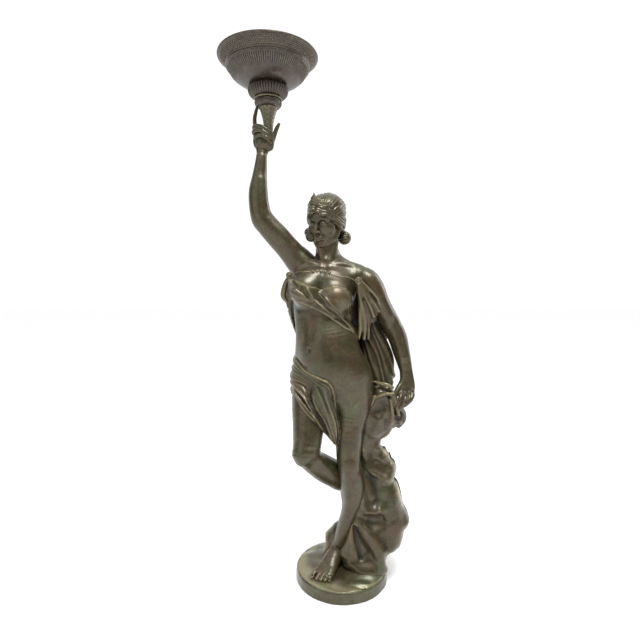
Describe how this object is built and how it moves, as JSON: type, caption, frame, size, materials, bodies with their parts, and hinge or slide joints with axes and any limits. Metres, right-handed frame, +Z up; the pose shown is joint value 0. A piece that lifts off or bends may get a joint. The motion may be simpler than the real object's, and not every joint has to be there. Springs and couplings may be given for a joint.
{
  "type": "figural floor lamp",
  "caption": "Bronze torchiere floor lamp: a draped standing woman on a round plinth holds up a torch with a wide open bowl that lights upwards.",
  "frame": {"origin": "centre of the round plinth's underside, on the floor", "axes": "+Z up, -Y the way the figure faces, +X to the figure's left"},
  "size_m": [0.7486, 0.374, 2],
  "materials": {
    "figure_bronze": "dark olive-brown patina, waxed",
    "base_bronze": "green-brown patina, waxed",
    "bowl_bronze": "brown-black patina",
    "rubbed_bronze": "patina rubbed back on the high parts",
    "brass": "satin",
    "steel": "zinc plated",
    "filament": "drawn wire",
    "bulb_metal": "satin",
    "bulb_glass": "frosted",
    "stem_glass": "clear",
    "porcelain": "glazed porcelain",
    "fibre": "pressed paper board",
    "rubber": "matt",
    "black_fitting": "moulded phenolic"
  },
  "bodies": {
    "lamp": {"plinth": "base_bronze", "ground_casting": "base_bronze", "standing_leg": "figure_bronze", "bent_leg": "figure_bronze", "torso": "figure_bronze", "head": "figure_bronze", "tiara": "rubbed_bronze", "raised_arm": "figure_bronze", "torch_hand": "figure_bronze", "lowered_arm": "figure_bronze", "gathering_hand": "figure_bronze", "chest_drape": "figure_bronze", "breast_cord": "rubbed_bronze", "brooch": "rubbed_bronze", "shoulder_clasps": "rubbed_bronze", "hip_drape": "figure_bronze", "mantle_upper": "figure_bronze", "mantle_lower": "figure_bronze", "torch_handle": "rubbed_bronze", "leaf_cup": "bowl_bronze", "knop_ring": "rubbed_bronze", "knop": "bowl_bronze", "lower_bowl": "bowl_bronze", "rim_band": "bowl_bronze", "lamp_pipe": "brass", "handle_nut": "brass", "bowl_washer": "steel", "bowl_nut": "brass", "socket_cap": "brass", "socket_shell": "brass", "socket_liner": "fibre", "socket_body": "porcelain", "screw_shell": "brass", "centre_contact": "brass", "tie_rod": "steel", "tie_rod_washer": "steel", "tie_rod_nut": "steel", "plinth_bolts": "steel", "plinth_washers": "steel", "cable_bush": "rubber", "supply_lead": "rubber"},
    "bulb": {"bulb_cap": "bulb_metal", "bulb_contact": "brass", "bulb_glass": "bulb_glass", "bulb_stem": "stem_glass", "bulb_filament": "filament"},
    "switch": {"key_shaft": "brass", "switch_key": "black_fitting"}
  },
  "joints": [
    {"name": "bulb_unscrew", "type": "slide", "parent": "lamp", "child": "bulb", "axis": [0, 0, 1], "range_m": [0, 0.12]},
    {"name": "switch_key_turn", "type": "hinge", "parent": "lamp", "child": "switch", "pos_m": [-0.28, -0.03, 1.934], "axis": [0, -1, 0], "continuous": true}
  ]
}
